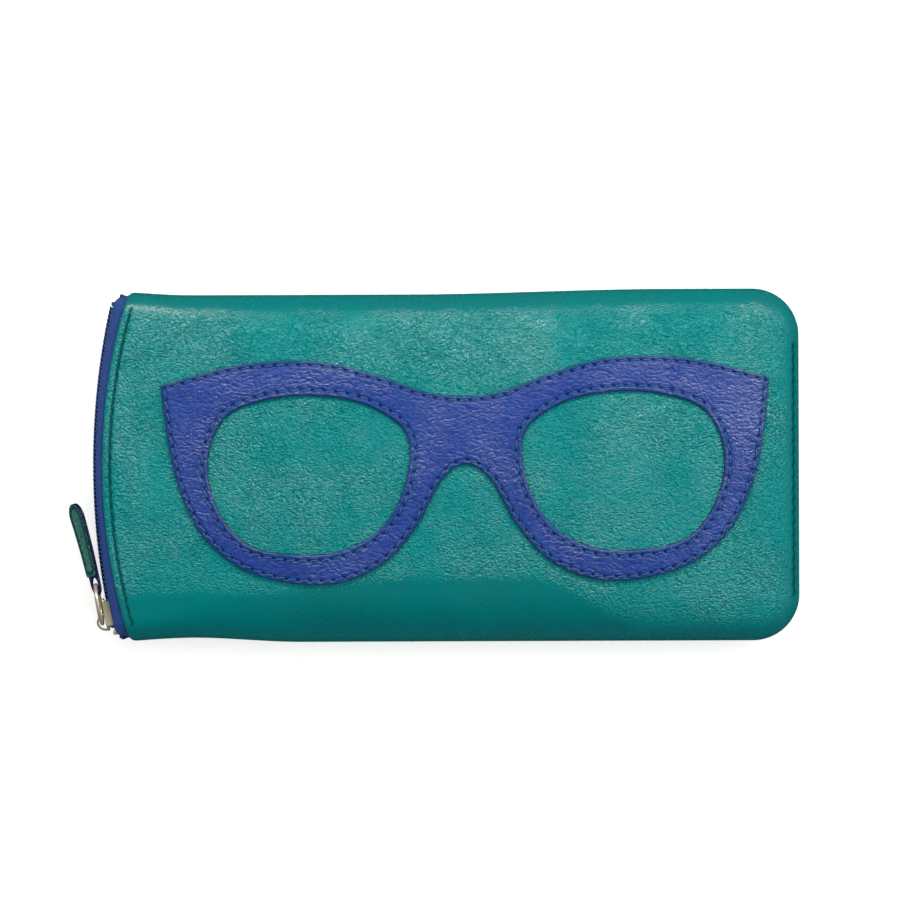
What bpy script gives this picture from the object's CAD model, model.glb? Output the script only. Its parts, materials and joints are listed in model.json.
"""Looks of the padded glasses case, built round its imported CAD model.

Leather, padding, zip, slider, ring, tab and every stitch are meshes made here from the same
dimensions as the CAD pieces that they stand for. +X runs to the closed end, +Z out of the front.
"""

import json
import math

import bmesh
import bpy
import numpy as np
from mathutils import Matrix, Vector, geometry, kdtree


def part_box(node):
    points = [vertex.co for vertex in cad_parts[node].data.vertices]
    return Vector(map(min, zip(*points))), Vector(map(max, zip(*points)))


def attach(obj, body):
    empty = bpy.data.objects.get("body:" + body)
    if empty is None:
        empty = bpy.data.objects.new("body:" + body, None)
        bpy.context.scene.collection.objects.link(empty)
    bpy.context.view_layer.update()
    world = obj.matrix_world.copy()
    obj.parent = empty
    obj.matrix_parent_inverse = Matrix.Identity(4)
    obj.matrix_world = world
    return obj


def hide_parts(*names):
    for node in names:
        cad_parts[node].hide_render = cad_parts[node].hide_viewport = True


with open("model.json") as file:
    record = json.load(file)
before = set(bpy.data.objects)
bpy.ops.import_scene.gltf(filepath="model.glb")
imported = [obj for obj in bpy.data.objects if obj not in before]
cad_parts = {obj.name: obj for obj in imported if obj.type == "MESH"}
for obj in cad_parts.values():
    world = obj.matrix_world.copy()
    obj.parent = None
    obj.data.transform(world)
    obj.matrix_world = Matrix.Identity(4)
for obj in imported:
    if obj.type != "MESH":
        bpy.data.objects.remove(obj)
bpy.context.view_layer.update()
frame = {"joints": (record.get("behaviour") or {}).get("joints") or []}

MM = 0.001
QUARTER = math.pi / 2.0
SEED = 11

# Driving sizes read from the frame
PANEL_LOW, PANEL_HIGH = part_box("front_panel")
JOINTS = {joint["name"]: joint for joint in frame["joints"]}
ARC_CENTRE = Vector(JOINTS["slider_travel"]["pos_m"])
CROWN_HOLE = Vector(JOINTS["ring_swing"]["pos_m"])
TAB_HOLE = Vector(JOINTS["tab_swing"]["pos_m"])
MID_Z = ARC_CENTRE.z
CLOSED_X = PANEL_HIGH.x
HALF_WIDTH = PANEL_HIGH.y
MOUTH_X = PANEL_LOW.x
FRONT_RISE = PANEL_HIGH.z - MID_Z

# Outline and depth of the case
CORNER_R = 12.0 * MM
CORNER_X = CLOSED_X - CORNER_R
WAIST_DEPTH = 1.2 * MM
WAIST_IN = (-92.0 * MM, -66.0 * MM)          # where along x the seams draw in, and out again
UPPER_WAIST_OUT = (-10.0 * MM, 55.0 * MM)
LOWER_WAIST_OUT = (-66.0 * MM, -38.0 * MM)
MOUTH_R = 146.0 * MM
MOUTH_CORNER_R = 1.6 * MM
MOUTH_CORNER_Y = 42.9 * MM
MOUTH_RISE = 7.0 * MM        # heights off the mid-plane: at the mouth, along the edges, at the back
EDGE_RISE = 8.5 * MM
BACK_RISE = 10.5 * MM
RISE_LENGTH = 65.0 * MM
FALL_START_X = 30.0 * MM
ROLL_R = 13.0 * MM           # width of the roll into the seams, narrower at the mouth
MOUTH_ROLL_R = 5.5 * MM
ROLL_LENGTH = 40.0 * MM
LEATHER_T = 1.2 * MM
FOLD_R = 1.0 * MM            # rounding of the turned mouth edge
SEAM_CURL = 0.5 * MM         # how far the shells curl inward at the seam
SEAM_CURL_HEIGHT = 1.2 * MM
SEAM_GAP = 0.05 * MM
FLAT_SHARE = 0.62            # share of the grid rows that lies off the rolls
PANEL_ROWS = 181             # rows and columns of a panel's grid of points
PANEL_COLUMNS = 387
END_COLUMNS = 45             # of those columns, the ones round the corners
MOUTH_FINE = 4.0 * MM        # finer columns this far in from the mouth
CUT_EDGE = 0.16 * MM         # dark rim along a cut leather edge
SMOOTH_TOP = 2.5 * MM        # how far the leather is stretched smooth in from each seam
SMOOTH_END = 1.0 * MM
SMOOTH_LOW = 14.0 * MM       # along the middle of the lower seam, and towards its two ends
SMOOTH_LOW_LEFT = 9.5 * MM
SMOOTH_LOW_RIGHT = 1.5 * MM
SMOOTH_LOW_IN = (-55.0 * MM, -10.0 * MM)
SMOOTH_LOW_OUT = (20.0 * MM, 50.0 * MM)
SMOOTH_BLEND = 5.0 * MM      # from smooth to full grain

# Unevenness of the leather: seeded waves, and the pucker along the seams
BROAD_HEIGHT = 0.22 * MM
FINE_HEIGHT = 0.045 * MM
WAVES_FROM_SEAM = 9.0 * MM   # where the waves reach their full height
WAVES_FROM_MOUTH = 14.0 * MM
PUCKER_HEIGHT = 0.10 * MM
PUCKER_LENGTH = 7.5 * MM
PUCKER_START = 1.5 * MM
PUCKER_REACH = 6.0 * MM
PUCKER_FROM_MOUTH = 8.0 * MM

# Inner layers
FOAM_DEPTH = 1.5 * MM
FOAM_T = 1.6 * MM
FOAM_START = 8.5 * MM
LINING_DEPTH = 3.5 * MM
LINING_T = 0.4 * MM
LINING_START = 3.0 * MM
INNER_ROWS = 71              # rows of a layer's grid of points, columns up to the corners
INNER_COLUMNS = 106
INNER_END_COLUMNS = 16       # and round them
DIVIDER_CORNER_R = 6.8 * MM
DIVIDER_ROUNDING = 0.6 * MM
DIVIDER_DETAIL = (0.8 * MM, 2.0 * MM, [d * MM for d in (0.15, 0.35, 0.7)])

# Zip
ZIP_R = 190.0 * MM
TAPE_R = 189.25 * MM
TAPE_DEPTH = 1.35 * MM
TAPE_T = 0.55 * MM
TAPE_TUCK = 7.0 * MM
TAPE_HALF_LENGTH = 43.6 * MM
TAPE_CORNER_R = 3.0 * MM
TAPE_SQUARENESS = 0.77
CHANNEL = 0.45 * MM          # from the mid-plane to each tape's edge
COIL_PITCH = 1.1 * MM
COIL_WIRE_R = 0.26 * MM
COIL_DEPTH = 0.38 * MM       # half the helix's size through the zip, and across it
COIL_REACH = 1.07 * MM
COIL_OFF = 0.87 * MM         # from the mid-plane to the helix's centre
COIL_LOW_Y = -41.0 * MM
COIL_HIGH_Y = 40.7 * MM
PARTING = 0.65 * MM          # how far the slider spreads each side, and over which stretch of y
PARTING_SPAN = (-39.2 * MM, -35.2 * MM)
TOP_STOP_Y = -42.3 * MM
BOTTOM_STOP_Y = 41.5 * MM

# Slider, in its own frame: s along the zip, w outward from the coils
SLIDER_REST_Y = -37.6 * MM
SLIDER_HALF = 4.2 * MM
SLIDER_ANGLE = math.asin(-SLIDER_REST_Y / ZIP_R)
OUTER_PLATE = (0.25 * MM, 0.95 * MM)
INNER_PLATE = (-3.5 * MM, -2.75 * MM)
# Half widths at the tail and the nose, then the corner radii at the nose and the tail
OUTER_OUTLINE = (2.9 * MM, 3.3 * MM, 2.2 * MM, 0.9 * MM)
INNER_OUTLINE = (2.4 * MM, 2.6 * MM, 1.6 * MM, 0.8 * MM)
FLANGE_SPAN = (-3.0 * MM, 3.3 * MM)
FLANGE_SIDE = 2.62 * MM      # off the slider's middle, and how much wider at the nose
FLANGE_SPREAD = 0.4 * MM
FLANGE_W = -0.08 * MM
POST_S = -2.4 * MM           # the divider between the coils
CROWN_S = -1.9 * MM          # middle of the crown's arch, its foot, half length and height
CROWN_W = 0.65 * MM
CROWN_HALF = 1.975 * MM
CROWN_HEIGHT = 2.42 * MM
PLATE_ROUNDING = 0.3 * MM
PLATE_DOME = 0.12 * MM

# Ring and tab
RING_R = 5.0 * MM
WIRE_R = 0.5 * MM
RING_OUT = math.radians(-2.0)
RING_ROLL = math.radians(2.0)
TAB_OUT = math.radians(3.3)
TAB_TWIST = math.radians(26.0)
TAB_T = 0.55 * MM
TAB_LENGTH = 21.5 * MM
TAB_RING_END_R = 2.75 * MM
TAB_FAR_END_R = 3.6 * MM
TAB_HOLE_R = 1.9 * MM
TAB_FRONT_START = 2.3 * MM   # where the front layer is cut off, past the hole in the back one
TAB_GAP = 0.02 * MM          # between the two layers
TAB_BOW = 0.25 * MM
TAB_BACK_ROUNDING = 0.22 * MM
TAB_FRONT_ROUNDING = 0.25 * MM
TAB_ROWS = [d * MM for d in (0.1, 0.22, 0.4, 0.6, 0.75, 0.9, 1.05, 1.25)]
TAB_FRONT_DETAIL = (0.25 * MM, 0.5 * MM, TAB_ROWS)
TAB_BACK_DETAIL = (0.25 * MM, 0.5 * MM, TAB_ROWS[:5])

# Glasses-shaped applique; its outlines are in millimetres, in its own plan frame
APPLIQUE_X = 3.9 * MM
APPLIQUE_TILT = math.radians(0.64)
APPLIQUE_T = 1.0 * MM
APPLIQUE_ROUNDING = 0.42 * MM
APPLIQUE_SINK = 0.05 * MM
APPLIQUE_ROWS = [d * MM for d in (0.1, 0.24, 0.42, 0.65, 0.85, 1.0, 1.15, 1.35, 1.6, 1.95)]
APPLIQUE_DETAIL = (0.34 * MM, 0.75 * MM, APPLIQUE_ROWS)
BROW = [(0.0, 17.5), (10.0, 18.8), (22.0, 23.0), (34.4, 26.4), (47.2, 27.1), (60.1, 25.8), (77.3, 21.4)]
RIM = [(77.3, 21.4), (75.6, 6.9), (72.7, -5.7), (67.0, -17.0), (57.4, -25.3), (45.3, -29.1),
       (32.5, -29.3), (20.9, -24.2), (12.5, -14.8), (6.3, -3.7), (0.0, 0.4)]
LENS = [(36.6, 18.1), (24.5, 15.5), (15.0, 8.2), (15.3, -4.0), (21.3, -15.1), (31.5, -21.1),
        (43.9, -22.0), (56.1, -19.1), (63.6, -9.5), (65.6, 2.8), (60.6, 13.4), (49.1, 17.6)]

# Stitches
THREAD_R = 0.2 * MM
TAB_THREAD_R = 0.17 * MM
STITCH_PITCH = 3.0 * MM
STITCH_SHARE = 0.72          # length of a stitch as a share of the pitch
OUTLINE_STITCH = 1.0 * MM
LENS_STITCH = 1.4 * MM
MOUTH_STITCH = 2.0 * MM
MOUTH_STITCH_MARGIN = 5.0 * MM
END_STITCH = 1.5 * MM
END_STITCH_SPAN = (-33.0 * MM, 31.0 * MM)
TAB_STITCH = 0.9 * MM
TAB_STITCH_PITCH = 1.6 * MM
GROOVE_DEPTH = 0.09 * MM
GROOVE_REACH = 0.4 * MM
HOLE_DEPTH = 0.3 * MM
HOLE_REACH = 0.36 * MM
DASH_HALF = 0.38 * MM        # half the length of the slanted mark at a needle hole
LINE_STEP = 0.1 * MM         # spacing of the points that stand for a row's line
THREAD_TWIST = 1.1           # turns of the two plies along one stitch
STITCH_SLANT = 0.16 * MM     # how far each end of a stitch lies off its line


# ---------------------------------------------------------------- case surfaces, on arrays

def smooth_step(t):
    t = np.clip(t, 0.0, 1.0)
    return t * t * (3.0 - 2.0 * t)


def ramp(value, start, end):
    """0 up to start and 1 from end on, with a smooth step between them."""
    return smooth_step((value - start) / (end - start))


def unit(vectors):
    """Vectors, along the last axis of an array, scaled to a length of one."""
    return vectors / np.maximum(np.linalg.norm(vectors, axis=-1, keepdims=True), 1e-12)


def left_of(run):
    """Plan vectors turned a quarter to the left."""
    return np.stack([-run[:, 1], run[:, 0]], axis=1)


def bump_at(distance, reach):
    """1 at no distance, falling off over reach."""
    return np.exp(-(distance / reach) ** 2)


def mouth_edge(y):
    """x of the curved mouth edge, rounded off at its two corners."""
    past = np.clip(np.abs(y) - MOUTH_CORNER_Y, 0.0, MOUTH_CORNER_R)
    rounding = MOUTH_CORNER_R - np.sqrt(MOUTH_CORNER_R ** 2 - past ** 2)
    return MOUTH_X + MOUTH_R - np.sqrt(MOUTH_R ** 2 - y * y) + rounding


def long_seam(x, y):
    """Half width of the case along its long seams, which the waist draws in near the mouth."""
    let_out = np.where(y > 0.0, ramp(x, *UPPER_WAIST_OUT), ramp(x, *LOWER_WAIST_OUT))
    return HALF_WIDTH - WAIST_DEPTH * ramp(x, *WAIST_IN) * (1.0 - let_out)


def half_width(x, y, inset):
    """Half width of a layer that lies inset from the outside, round corners included."""
    radius = CORNER_R - inset
    reach = np.clip(x - CORNER_X, 0.0, radius)
    round_end = HALF_WIDTH - CORNER_R + np.sqrt(radius ** 2 - reach ** 2)
    return np.where(x > CORNER_X, round_end, long_seam(x, y) - inset)


def seam_distance(x, y):
    """Distance in plan to the nearest seam; the mouth is not a seam."""
    corner_y = HALF_WIDTH - CORNER_R
    in_corner = (x > CORNER_X) & (np.abs(y) > corner_y)
    corner = CORNER_R - np.hypot(x - CORNER_X, np.abs(y) - corner_y)
    return np.where(in_corner, corner, np.minimum(long_seam(x, y) - np.abs(y), CLOSED_X - x))


def inward(x, y):
    """Plan direction away from the nearest stretch of seam."""
    corner_y = HALF_WIDTH - CORNER_R
    in_corner = (x > CORNER_X) & (np.abs(y) > corner_y)
    to_x, to_y = CORNER_X - x, np.sign(y) * corner_y - y
    size = np.maximum(np.hypot(to_x, to_y), 1e-9)
    at_end = CLOSED_X - x < long_seam(x, y) - np.abs(y)
    dx = np.where(in_corner, to_x / size, np.where(at_end, -1.0, 0.0))
    dy = np.where(in_corner, to_y / size, np.where(at_end, 0.0, -np.sign(y)))
    return dx, dy


def roll_radius(x, y):
    """Plan width of the roll into the seam, narrower near the mouth."""
    return MOUTH_ROLL_R + (ROLL_R - MOUTH_ROLL_R) * smooth_step((x - mouth_edge(y)) / ROLL_LENGTH)


def crown(x, y, rise):
    """Height of the pillow off its mid-plane, without the rolls into the seams."""
    across = 1.0 - (y / HALF_WIDTH) ** 2
    along = 1.0 - ramp(x, FALL_START_X, CLOSED_X)
    full = EDGE_RISE + (rise - EDGE_RISE) * across * along
    return MOUTH_RISE + (full - MOUTH_RISE) * smooth_step((x - mouth_edge(y)) / RISE_LENGTH)


def wave_field(seed, count, shortest, longest):
    """A smooth random height field as a sum of plane waves, scaled to about -1 to 1."""
    rng = np.random.default_rng(seed)
    lengths = shortest * (longest / shortest) ** rng.random(count)
    turns = rng.random(count) * math.tau
    phases = rng.random(count) * math.tau
    weights = lengths ** 0.8
    weights = weights / math.sqrt((weights ** 2).sum() / 2.0)

    def field(x, y):
        total = np.zeros_like(x)
        for length, turn, phase, weight in zip(lengths, turns, phases, weights):
            along = x * math.cos(turn) + y * math.sin(turn)
            total += weight * np.cos(math.tau * along / length + phase)
        return total / 1.5
    return field


# The front's field of waves and the back's, for broad waves and for fine ones
BROAD_WAVES = [wave_field(SEED + k, 26, 16.0 * MM, 60.0 * MM) for k in (0, 1)]
FINE_WAVES = [wave_field(SEED + k, 30, 5.0 * MM, 13.0 * MM) for k in (2, 3)]


def relief(x, y, side):
    """Soft unevenness of the leather, which fades out at the seams and the mouth."""
    to_seam, to_mouth = seam_distance(x, y), x - mouth_edge(y)
    k = 0 if side > 0 else 1
    waves = BROAD_HEIGHT * BROAD_WAVES[k](x, y) + FINE_HEIGHT * FINE_WAVES[k](x, y)
    waves *= smooth_step(to_seam / WAVES_FROM_SEAM) * smooth_step(to_mouth / WAVES_FROM_MOUTH)
    wander = 0.8 * np.sin(x / (23.0 * MM)) + 0.6 * np.sin(x / (9.5 * MM) + 1.0)
    pucker = np.sin(math.tau * x / PUCKER_LENGTH + 2.5 * wander + np.sign(y))
    pucker *= smooth_step(to_seam / PUCKER_START) * np.exp(-to_seam / PUCKER_REACH)
    return waves + PUCKER_HEIGHT * pucker * smooth_step(to_mouth / PUCKER_FROM_MOUTH)


def shell_height(x, y, side, depth=0.0):
    """Height of a layer's surface above or below the mid-plane, without relief."""
    rise = FRONT_RISE if side > 0 else BACK_RISE
    reach = np.clip((seam_distance(x, y) - depth) / (roll_radius(x, y) - depth), 0.0, 1.0)
    return (crown(x, y, rise) - depth) * np.sqrt(1.0 - (1.0 - reach) ** 2)


def shell_z(x, y, side, depth=0.0, gap=SEAM_GAP):
    """z of a layer's surface, kept off the mid-plane and off the ground."""
    height = np.maximum(shell_height(x, y, side, depth), gap)
    if side > 0:
        return MID_Z + height
    return np.maximum(MID_Z - height, depth)


def leather_z(x, y, side):
    """Height of the leather's outer surface with its relief."""
    z = shell_z(x, y, side) + side * relief(x, y, side)
    return z if side > 0 else np.maximum(z, 0.0)


def leather_surface(plan, side, lift):
    """Points on the leather above plan points, or lift off it, and the outward normals there."""
    x, y = plan[:, 0], plan[:, 1]
    step = 0.1 * MM
    dx = (leather_z(x + step, y, side) - leather_z(x - step, y, side)) / (2.0 * step)
    dy = (leather_z(x, y + step, side) - leather_z(x, y - step, side)) / (2.0 * step)
    normals = unit(side * np.stack([-dx, -dy, np.ones_like(dx)], axis=1))
    points = np.stack([x, y, leather_z(x, y, side)], axis=1)
    return points + normals * np.reshape(lift, (-1, 1)), normals


# ---------------------------------------------------------------- plan curves

def span_samples(four, steps=12):
    """Points along one span of a smooth curve, between the second and the third of four points."""
    p0, p1, p2, p3 = [np.array(p) for p in four]
    samples = []
    for i in range(steps):
        t = i / steps
        square = (2.0 * p0 - 5.0 * p1 + 4.0 * p2 - p3) * t ** 2
        cube = (3.0 * p1 - p0 - 3.0 * p2 + p3) * t ** 3
        samples.append(0.5 * (2.0 * p1 + (p2 - p0) * t + square + cube))
    return samples


def smooth_stroke(points):
    padded = [points[0]] + points + [points[-1]]
    samples = []
    for i in range(len(points) - 1):
        samples += span_samples(padded[i:i + 4])
    return samples


def smooth_loop(points):
    samples = []
    for i in range(len(points)):
        samples += span_samples([points[(i + k) % len(points)] for k in range(4)])
    return samples


def mirrored(points):
    return [(-x, y) for x, y in reversed(points)]


def on_case(points):
    """Points of the applique's own plan frame, in millimetres, as an array on the case."""
    cos, sin = math.cos(APPLIQUE_TILT), math.sin(APPLIQUE_TILT)
    points = np.array(points) * MM
    x = points[:, 0] * cos - points[:, 1] * sin
    y = points[:, 0] * sin + points[:, 1] * cos
    return np.stack([APPLIQUE_X + x, y], axis=1)


def resampled(points, spacing, closed=True):
    """Evenly spaced points along a polyline."""
    points = np.asarray(points)
    if closed:
        points = np.vstack([points, points[:1]])
    steps = np.linalg.norm(np.diff(points, axis=0), axis=1)
    along = np.concatenate([[0.0], np.cumsum(steps)])
    count = max(3, round(along[-1] / spacing))
    wanted = np.linspace(0.0, along[-1], count + 1)
    if closed:
        wanted = wanted[:-1]
    return np.stack([np.interp(wanted, along, points[:, k]) for k in range(points.shape[1])], axis=1)


def offset_loop(points, distance):
    """A closed anticlockwise loop moved sideways; a positive distance widens it."""
    before = unit(points - np.roll(points, 1, axis=0))
    after = unit(np.roll(points, -1, axis=0) - points)
    normals = unit(-left_of(before + after))
    cosine = normals[:, 0] * before[:, 1] - normals[:, 1] * before[:, 0]
    return points + normals * distance * np.minimum(1.0 / np.maximum(cosine, 0.2), 1.6)[:, None]


def nearest_distance(points, targets):
    """Distance in plan from each point to the nearest target."""
    tree = kdtree.KDTree(len(targets))
    for i, target in enumerate(targets):
        tree.insert((target[0], target[1], 0.0), i)
    tree.balance()
    return np.array([tree.find((p[0], p[1], 0.0))[2] for p in points])


def frame_loops():
    """Outer edge, right lens and left lens of the applique on the case, anticlockwise."""
    brow = smooth_stroke(mirrored(BROW) + BROW[1:])
    lower = smooth_stroke(RIM + mirrored(RIM)[1:])
    outer = on_case((brow + lower)[::-1])
    lens = smooth_loop(mirrored(LENS))
    return outer, on_case(mirrored(lens)), on_case(lens)


# ---------------------------------------------------------------- mesh helpers

def linked(name, mesh, mat):
    """A new object of a mesh, smooth shaded, with its material."""
    mesh.shade_smooth()
    mesh.materials.append(mat)
    obj = bpy.data.objects.new(name, mesh)
    bpy.context.scene.collection.objects.link(obj)
    return obj


def mesh_object(name, verts, faces, mat, attributes=None):
    mesh = bpy.data.meshes.new(name)
    mesh.from_pydata(np.asarray(verts).tolist(), [], faces)
    mesh.update()
    for key, values in (attributes or {}).items():
        layer = mesh.attributes.new(key, "FLOAT", "POINT")
        layer.data.foreach_set("value", np.asarray(values, dtype=np.float32))
    return linked(name, mesh, mat)


def from_bmesh(name, bm, mat, sharp_degrees=None):
    mesh = bpy.data.meshes.new(name)
    bmesh.ops.recalc_face_normals(bm, faces=bm.faces)
    bm.to_mesh(mesh)
    bm.free()
    obj = linked(name, mesh, mat)
    if sharp_degrees is not None:
        mesh.set_sharp_from_angle(angle=math.radians(sharp_degrees))
    return obj


def grid_faces(rows, columns, start=0, flip=False):
    """Quads of a grid of rows x columns points stored row by row."""
    r, c = np.meshgrid(np.arange(rows - 1), np.arange(columns - 1), indexing="ij")
    a = (start + r * columns + c).ravel()
    quads = np.stack([a, a + 1, a + 1 + columns, a + columns], axis=1)
    if flip:
        quads = quads[:, ::-1]
    return quads.tolist()


def rim_loop(rows, columns):
    """Indices round the border of a grid, anticlockwise seen from its face side."""
    loop = list(range(columns))
    loop += [r * columns + columns - 1 for r in range(1, rows)]
    loop += [(rows - 1) * columns + c for c in range(columns - 2, -1, -1)]
    loop += [r * columns for r in range(rows - 2, 0, -1)]
    return loop


def turn_steps(sides):
    """Angles of evenly spaced points round a full turn."""
    return np.arange(sides) / sides * math.tau


def tube_points(centres, across, up, radii):
    """Points of a tube, ring by ring; radii has one row for each ring, one column for each side."""
    theta = turn_steps(radii.shape[-1])[:, None]
    spokes = np.cos(theta) * across[..., None, :] + np.sin(theta) * up[..., None, :]
    return (centres[..., None, :] + radii[..., None] * spokes).reshape(-1, 3)


def tube_faces(rings, sides, first=0):
    """Faces of a closed tube whose points are stored ring by ring."""
    faces = []
    for r in range(rings - 1):
        for s in range(sides):
            a = first + r * sides + s
            b = first + r * sides + (s + 1) % sides
            faces.append([a, b, b + sides, a + sides])
    faces.append([first + s for s in reversed(range(sides))])
    faces.append([first + (rings - 1) * sides + s for s in range(sides)])
    return faces


# ---------------------------------------------------------------- leather shells

def shell_plan(start, depth, shares, angles, across):
    """Plan grid of a shell: shares run from the mouth to the corners, angles round the end."""
    columns = len(shares) + len(angles)
    share = np.concatenate([shares, np.ones(len(angles))])[None, :]
    past = np.concatenate([np.zeros(len(shares)), np.sin(angles)])[None, :] * (CORNER_R - depth)
    v = np.abs(across)[:, None]
    flat = np.minimum(v / FLAT_SHARE, 1.0)
    roll = np.clip((v - FLAT_SHARE) / (1.0 - FLAT_SHARE), 0.0, 1.0) * QUARTER
    y = np.sign(across)[:, None] * np.repeat(v, columns, axis=1) * (HALF_WIDTH - depth)
    for _ in range(4):
        x = (mouth_edge(y) + start) * (1.0 - share) + CORNER_X * share + past
        reach = half_width(x, y, depth)
        radius = np.minimum(roll_radius(x, y) - depth, reach)
        y = np.sign(across)[:, None] * (flat * (reach - radius) + radius * np.sin(roll))
    return x, y


def grid_normals(points, side):
    """Unit outward normals of a grid of points, rows across and columns along."""
    return unit(side * np.cross(np.gradient(points, axis=1), np.gradient(points, axis=0)))


def closed_grids(name, outer, inner, walls, side, mat, attributes):
    """A solid of an outer grid of points, an inner one and the walls between their rims."""
    verts = np.vstack([outer.reshape(-1, 3), inner.reshape(-1, 3)])
    start = outer.shape[0] * outer.shape[1]
    faces = grid_faces(*outer.shape[:2]) + grid_faces(*inner.shape[:2], start, flip=True) + walls
    if side < 0:
        faces = [face[::-1] for face in faces]
    return mesh_object(name, verts, faces, mat, attributes)


def solid_shell(name, points, normals, thickness, side, mat, attributes, floor_gap):
    """Close a grid into a solid with an inner face at half its resolution."""
    inner = points[::2, ::2] - normals[::2, ::2] * thickness
    limit = MID_Z + side * floor_gap
    inner[:, :, 2] = np.maximum(inner[:, :, 2], limit) if side > 0 else np.minimum(inner[:, :, 2], limit)
    outer_rim = rim_loop(*points.shape[:2])
    start = points.shape[0] * points.shape[1]
    inner_rim = [start + i for i in rim_loop(*inner.shape[:2])]
    walls = []
    for k, low in enumerate(inner_rim):
        following = inner_rim[(k + 1) % len(inner_rim)]
        first, middle, last = [outer_rim[(2 * k + j) % len(outer_rim)] for j in range(3)]
        walls += [[first, low, middle], [middle, low, following, last]]
    inner_count = inner.shape[0] * inner.shape[1]
    full = {key: np.append(values, np.zeros(inner_count)) for key, values in attributes.items()}
    return closed_grids(name, points, inner, walls, side, mat, full)


def thin_solid(name, points, normals, thickness, side, mat, attributes):
    """Close a grid into a solid of even thickness, inward from the grid."""
    start = points.shape[0] * points.shape[1]
    rim = rim_loop(*points.shape[:2])
    walls = [[a, a + start, b + start, b] for a, b in zip(rim, rim[1:] + rim[:1])]
    full = {key: np.tile(values.ravel(), 2) for key, values in attributes.items()}
    return closed_grids(name, points, points - normals * thickness, walls, side, mat, full)


def mouth_line(spacing):
    """Points along the mouth's row of stitches."""
    reach = HALF_WIDTH - MOUTH_STITCH_MARGIN
    y = np.linspace(-reach, reach, round(2.0 * reach / spacing) + 1)
    return np.stack([mouth_edge(y) + MOUTH_STITCH, y], axis=1)


def closed_end_line(spacing):
    """Points along the closed end's row of stitches."""
    y = np.arange(*END_STITCH_SPAN, spacing)
    return np.stack([np.full_like(y, CLOSED_X - END_STITCH), y], axis=1)


def dash_points(holes):
    """Points of a short slanted dash through each needle hole, from one stitch to the next."""
    run = unit(np.gradient(holes, axis=0))
    step = DASH_HALF * (run - 0.5 * left_of(run))
    return np.vstack([holes + share * step for share in (-1.0, -0.5, 0.0, 0.5, 1.0)])


def needle_marks(plan, rows):
    """Groove depth and needle holes, 0 to 1 at plan points, that rows of stitches press in.

    Each row is a pair of its fine line and its needle holes.
    """
    groove, marks = np.zeros(len(plan)), np.zeros(len(plan))
    for line, holes in rows:
        near = nearest_distance(plan, line)
        groove = np.maximum(groove, bump_at(near, GROOVE_REACH))
        close = near < 3.0 * HOLE_REACH
        if close.any():
            hole_marks = bump_at(nearest_distance(plan[close], dash_points(holes)), HOLE_REACH)
            marks[close] = np.maximum(marks[close], hole_marks)
    return groove, marks


def grain_fade(x, y):
    """0 where the leather is stretched smooth along the seams, 1 where its grain is full."""
    low_band = SMOOTH_LOW_LEFT + (SMOOTH_LOW - SMOOTH_LOW_LEFT) * ramp(x, *SMOOTH_LOW_IN)
    low_band += (SMOOTH_LOW_RIGHT - SMOOTH_LOW) * ramp(x, *SMOOTH_LOW_OUT)
    band = np.where(y > 0.0, SMOOTH_TOP, low_band)
    band = np.where(CLOSED_X - x < long_seam(x, y) - np.abs(y), SMOOTH_END, band)
    return ramp(seam_distance(x, y), band, band + SMOOTH_BLEND)


def panel_object(word, side, mat):
    """A leather panel: fine columns of points at the turned mouth edge, even ones beyond it."""
    length = CORNER_X - MOUTH_X
    fold = FOLD_R * (1.0 - np.cos(np.linspace(0.0, QUARTER, 7)))
    fine = np.arange(FOLD_R + 0.25 * MM, MOUTH_FINE, 0.25 * MM)
    angles = np.linspace(0.0, QUARTER, END_COLUMNS)[1:]
    coarse = np.linspace(MOUTH_FINE, length, PANEL_COLUMNS - len(fold) - len(fine) - len(angles))
    shares = np.concatenate([fold, fine, coarse]) / length
    x, y = shell_plan(0.0, 0.0, shares, angles, np.linspace(-1.0, 1.0, PANEL_ROWS))
    points = np.stack([x, y, leather_z(x, y, side)], axis=2)
    normals = grid_normals(points, side)

    plan = np.stack([x.ravel(), y.ravel()], axis=1)
    rows = [(mouth_line(LINE_STEP), mouth_line(STITCH_PITCH))]
    if side > 0:
        rows.append((closed_end_line(LINE_STEP), closed_end_line(STITCH_PITCH)))
    groove, marks = [part.reshape(x.shape) for part in needle_marks(plan, rows)]
    points -= normals * (GROOVE_DEPTH * groove + 0.5 * HOLE_DEPTH * marks)[:, :, None]

    from_mouth = np.clip(x - mouth_edge(y), 0.0, FOLD_R)
    points[:, :, 2] -= side * (FOLD_R - np.sqrt(FOLD_R ** 2 - (FOLD_R - from_mouth) ** 2))

    height = np.abs(points[:, :, 2] - MID_Z)
    curl = SEAM_CURL * np.clip(1.0 - height / SEAM_CURL_HEIGHT, 0.0, 1.0) ** 2
    dx, dy = inward(x, y)
    points[:, :, 0] += dx * curl
    points[:, :, 1] += dy * curl

    attributes = {"fade": grain_fade(x, y) * (1.0 - groove),
                  "shade": np.clip(0.35 * groove + 0.6 * marks, 0.0, 1.0)}
    return solid_shell(word + "_leather", points, normals, LEATHER_T, side, mat, attributes, SEAM_GAP)


def inner_shell(name, side, depth, thickness, start, gap, mat):
    """Foam or lining: the same form further in, on a coarser grid."""
    shares = np.linspace(0.0, 1.0, INNER_COLUMNS)
    angles = np.linspace(0.0, QUARTER, INNER_END_COLUMNS)[1:]
    x, y = shell_plan(start, depth, shares, angles, np.linspace(-1.0, 1.0, INNER_ROWS))
    points = np.stack([x, y, shell_z(x, y, side, depth, gap)], axis=2)
    return solid_shell(name, points, grid_normals(points, side), thickness, side, mat, {}, 0.6 * gap)


# ---------------------------------------------------------------- flat leather pieces

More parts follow.
